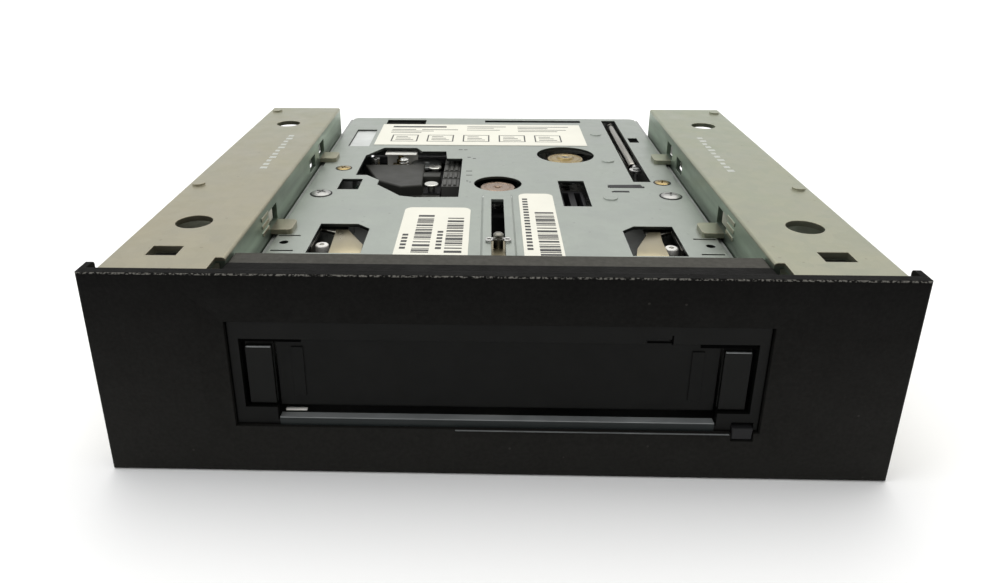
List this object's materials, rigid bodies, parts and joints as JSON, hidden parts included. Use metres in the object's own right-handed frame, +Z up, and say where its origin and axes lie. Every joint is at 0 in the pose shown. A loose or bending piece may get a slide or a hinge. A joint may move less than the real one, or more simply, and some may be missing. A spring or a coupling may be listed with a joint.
{
  "type": "data tape drive",
  "caption": "Internal mini-cartridge tape drive in folded side brackets with a wide-bay front bezel, sprung doors and an open-topped mechanism.",
  "frame": {"origin": "centre of the drive's footprint on the surface it stands on", "axes": "-Y is the front with the bezel, +X to the right seen from the front, +Z up"},
  "size_m": [0.1486, 0.154, 0.042],
  "materials": {
    "black_plastic": "fine textured moulding",
    "grey_plastic": "satin moulding",
    "white_plastic": "satin nylon",
    "smoke_plastic": "smoked light pipe",
    "chip_plastic": "dull moulding",
    "seal_foam": "dense foam",
    "belt_rubber": "ground rubber",
    "zinc_plate": "yellowish zinc plate",
    "cover_steel": "zinc-coated steel sheet",
    "casing_metal": "die-cast",
    "lever_steel": "zinc-plated stamping",
    "steel_pin": "ground steel",
    "spring_steel": "drawn wire",
    "screw_steel": "zinc-plated",
    "brass_metal": "turned",
    "copper_metal": "turned, coppery",
    "pin_gold": "plated contacts",
    "circuit_board": "solder mask over glass laminate",
    "label_paper": "matt label stock"
  },
  "bodies": {
    "drive": {"bezel": "black_plastic", "face_frame": "black_plastic", "dust_seal": "seal_foam", "hinge_rod": "steel_pin", "door_springs": "spring_steel", "light_pipe": "smoke_plastic", "bracket_left": "zinc_plate", "bracket_right": "zinc_plate", "bracket_screws": "screw_steel", "chassis": "casing_metal", "top_cover": "cover_steel", "cover_screws": "screw_steel", "adjusting_screws": "brass_metal", "main_board": "circuit_board", "board_chips": "chip_plastic", "board_screws": "screw_steel", "data_connector": "chip_plastic", "data_pins": "pin_gold", "power_connector": "white_plastic", "power_pins": "pin_gold", "jumper_header": "pin_gold", "motor_base": "casing_metal", "drive_belt": "belt_rubber", "capstan_bearing": "brass_metal", "stepper_motor": "casing_metal", "guide_shaft": "steel_pin", "connector_comb": "grey_plastic", "head_flex": "white_plastic", "lever_pivots": "steel_pin", "lever_springs": "spring_steel", "slider_spring": "spring_steel", "sensor_switches": "chip_plastic", "cartridge_rails": "white_plastic", "spring_rod": "steel_pin", "rear_label": "label_paper", "front_labels": "label_paper"},
    "door": {"cartridge_door": "black_plastic"},
    "flap_left": {"side_flap_left": "black_plastic"},
    "flap_right": {"side_flap_right": "black_plastic"},
    "lever_left": {"latch_lever_left": "lever_steel"},
    "lever_right": {"latch_lever_right": "lever_steel"},
    "roller_left": {"latch_roller_left": "white_plastic"},
    "roller_right": {"latch_roller_right": "white_plastic"},
    "slider": {"load_slider": "lever_steel", "slider_pin": "steel_pin", "slider_clip": "spring_steel"},
    "capstan": {"capstan_shaft": "steel_pin", "capstan_pulley": "white_plastic", "drive_puck": "belt_rubber", "capstan_cap": "copper_metal"},
    "motor": {"motor_rotor": "steel_pin", "motor_pulley": "brass_metal", "motor_disc": "brass_metal"},
    "screw": {"lead_screw": "steel_pin"},
    "carriage": {"head_carriage": "grey_plastic", "tape_head": "steel_pin", "head_pads": "white_plastic", "lead_nut": "brass_metal"},
    "plunger": {"switch_plunger": "chip_plastic"}
  },
  "joints": [
    {"name": "door_swing", "type": "hinge", "parent": "drive", "child": "door", "pos_m": [0, -0.0729, 0.0305], "axis": [1, 0, 0], "range_deg": [0, 80], "stiffness_Nm_per_rad": 0.001},
    {"name": "flap_left_swing", "type": "hinge", "parent": "drive", "child": "flap_left", "pos_m": [0, -0.0729, 0.0305], "axis": [1, 0, 0], "range_deg": [0, 85], "stiffness_Nm_per_rad": 0.0003},
    {"name": "flap_right_swing", "type": "hinge", "parent": "drive", "child": "flap_right", "pos_m": [0, -0.0729, 0.0305], "axis": [1, 0, 0], "range_deg": [0, 85], "stiffness_Nm_per_rad": 0.0003},
    {"name": "lever_left_swing", "type": "hinge", "parent": "drive", "child": "lever_left", "pos_m": [-0.0332, -0.051, 0.0304], "axis": [0, 0, 1], "range_deg": [0, 8], "stiffness_Nm_per_rad": 0.002},
    {"name": "lever_right_swing", "type": "hinge", "parent": "drive", "child": "lever_right", "pos_m": [0.0332, -0.051, 0.0304], "axis": [0, 0, -1], "range_deg": [0, 8], "stiffness_Nm_per_rad": 0.002},
    {"name": "roller_left_spin", "type": "hinge", "parent": "lever_left", "child": "roller_left", "pos_m": [-0.039, -0.0378, 0.027], "axis": [0, 0, 1], "continuous": true},
    {"name": "roller_right_spin", "type": "hinge", "parent": "lever_right", "child": "roller_right", "pos_m": [0.039, -0.0378, 0.027], "axis": [0, 0, 1], "continuous": true},
    {"name": "slider_travel", "type": "slide", "parent": "drive", "child": "slider", "axis": [0, 1, 0], "range_m": [0, 0.025], "stiffness_N_per_m": 12, "deforming": ["slider_spring"]},
    {"name": "motor_spin", "type": "hinge", "parent": "drive", "child": "motor", "pos_m": [0.0213, 0.0298, 0.02], "axis": [0, 0, 1], "continuous": true},
    {"name": "capstan_spin", "type": "hinge", "parent": "drive", "child": "capstan", "pos_m": [0.0008, 0.0018, 0.02], "axis": [0, 0, 1], "continuous": true},
    {"name": "lead_turn", "type": "hinge", "parent": "drive", "child": "screw", "pos_m": [-0.0275, 0.032, 0.022], "axis": [0, 0, 1], "range_deg": [0, 660.2]},
    {"name": "head_travel", "type": "slide", "parent": "drive", "child": "carriage", "axis": [0, 0, 1], "range_m": [-0.0044, 0]},
    {"name": "plunger_press", "type": "slide", "parent": "drive", "child": "plunger", "axis": [0, 0, -1], "range_m": [0, 0.0012], "stiffness_N_per_m": 20}
  ],
  "couplings": [
    {"joint": "capstan_spin", "follows": "motor_spin", "ratio": 0.66667},
    {"joint": "lead_turn", "follows": "head_travel", "rad_per_m": -2618}
  ]
}
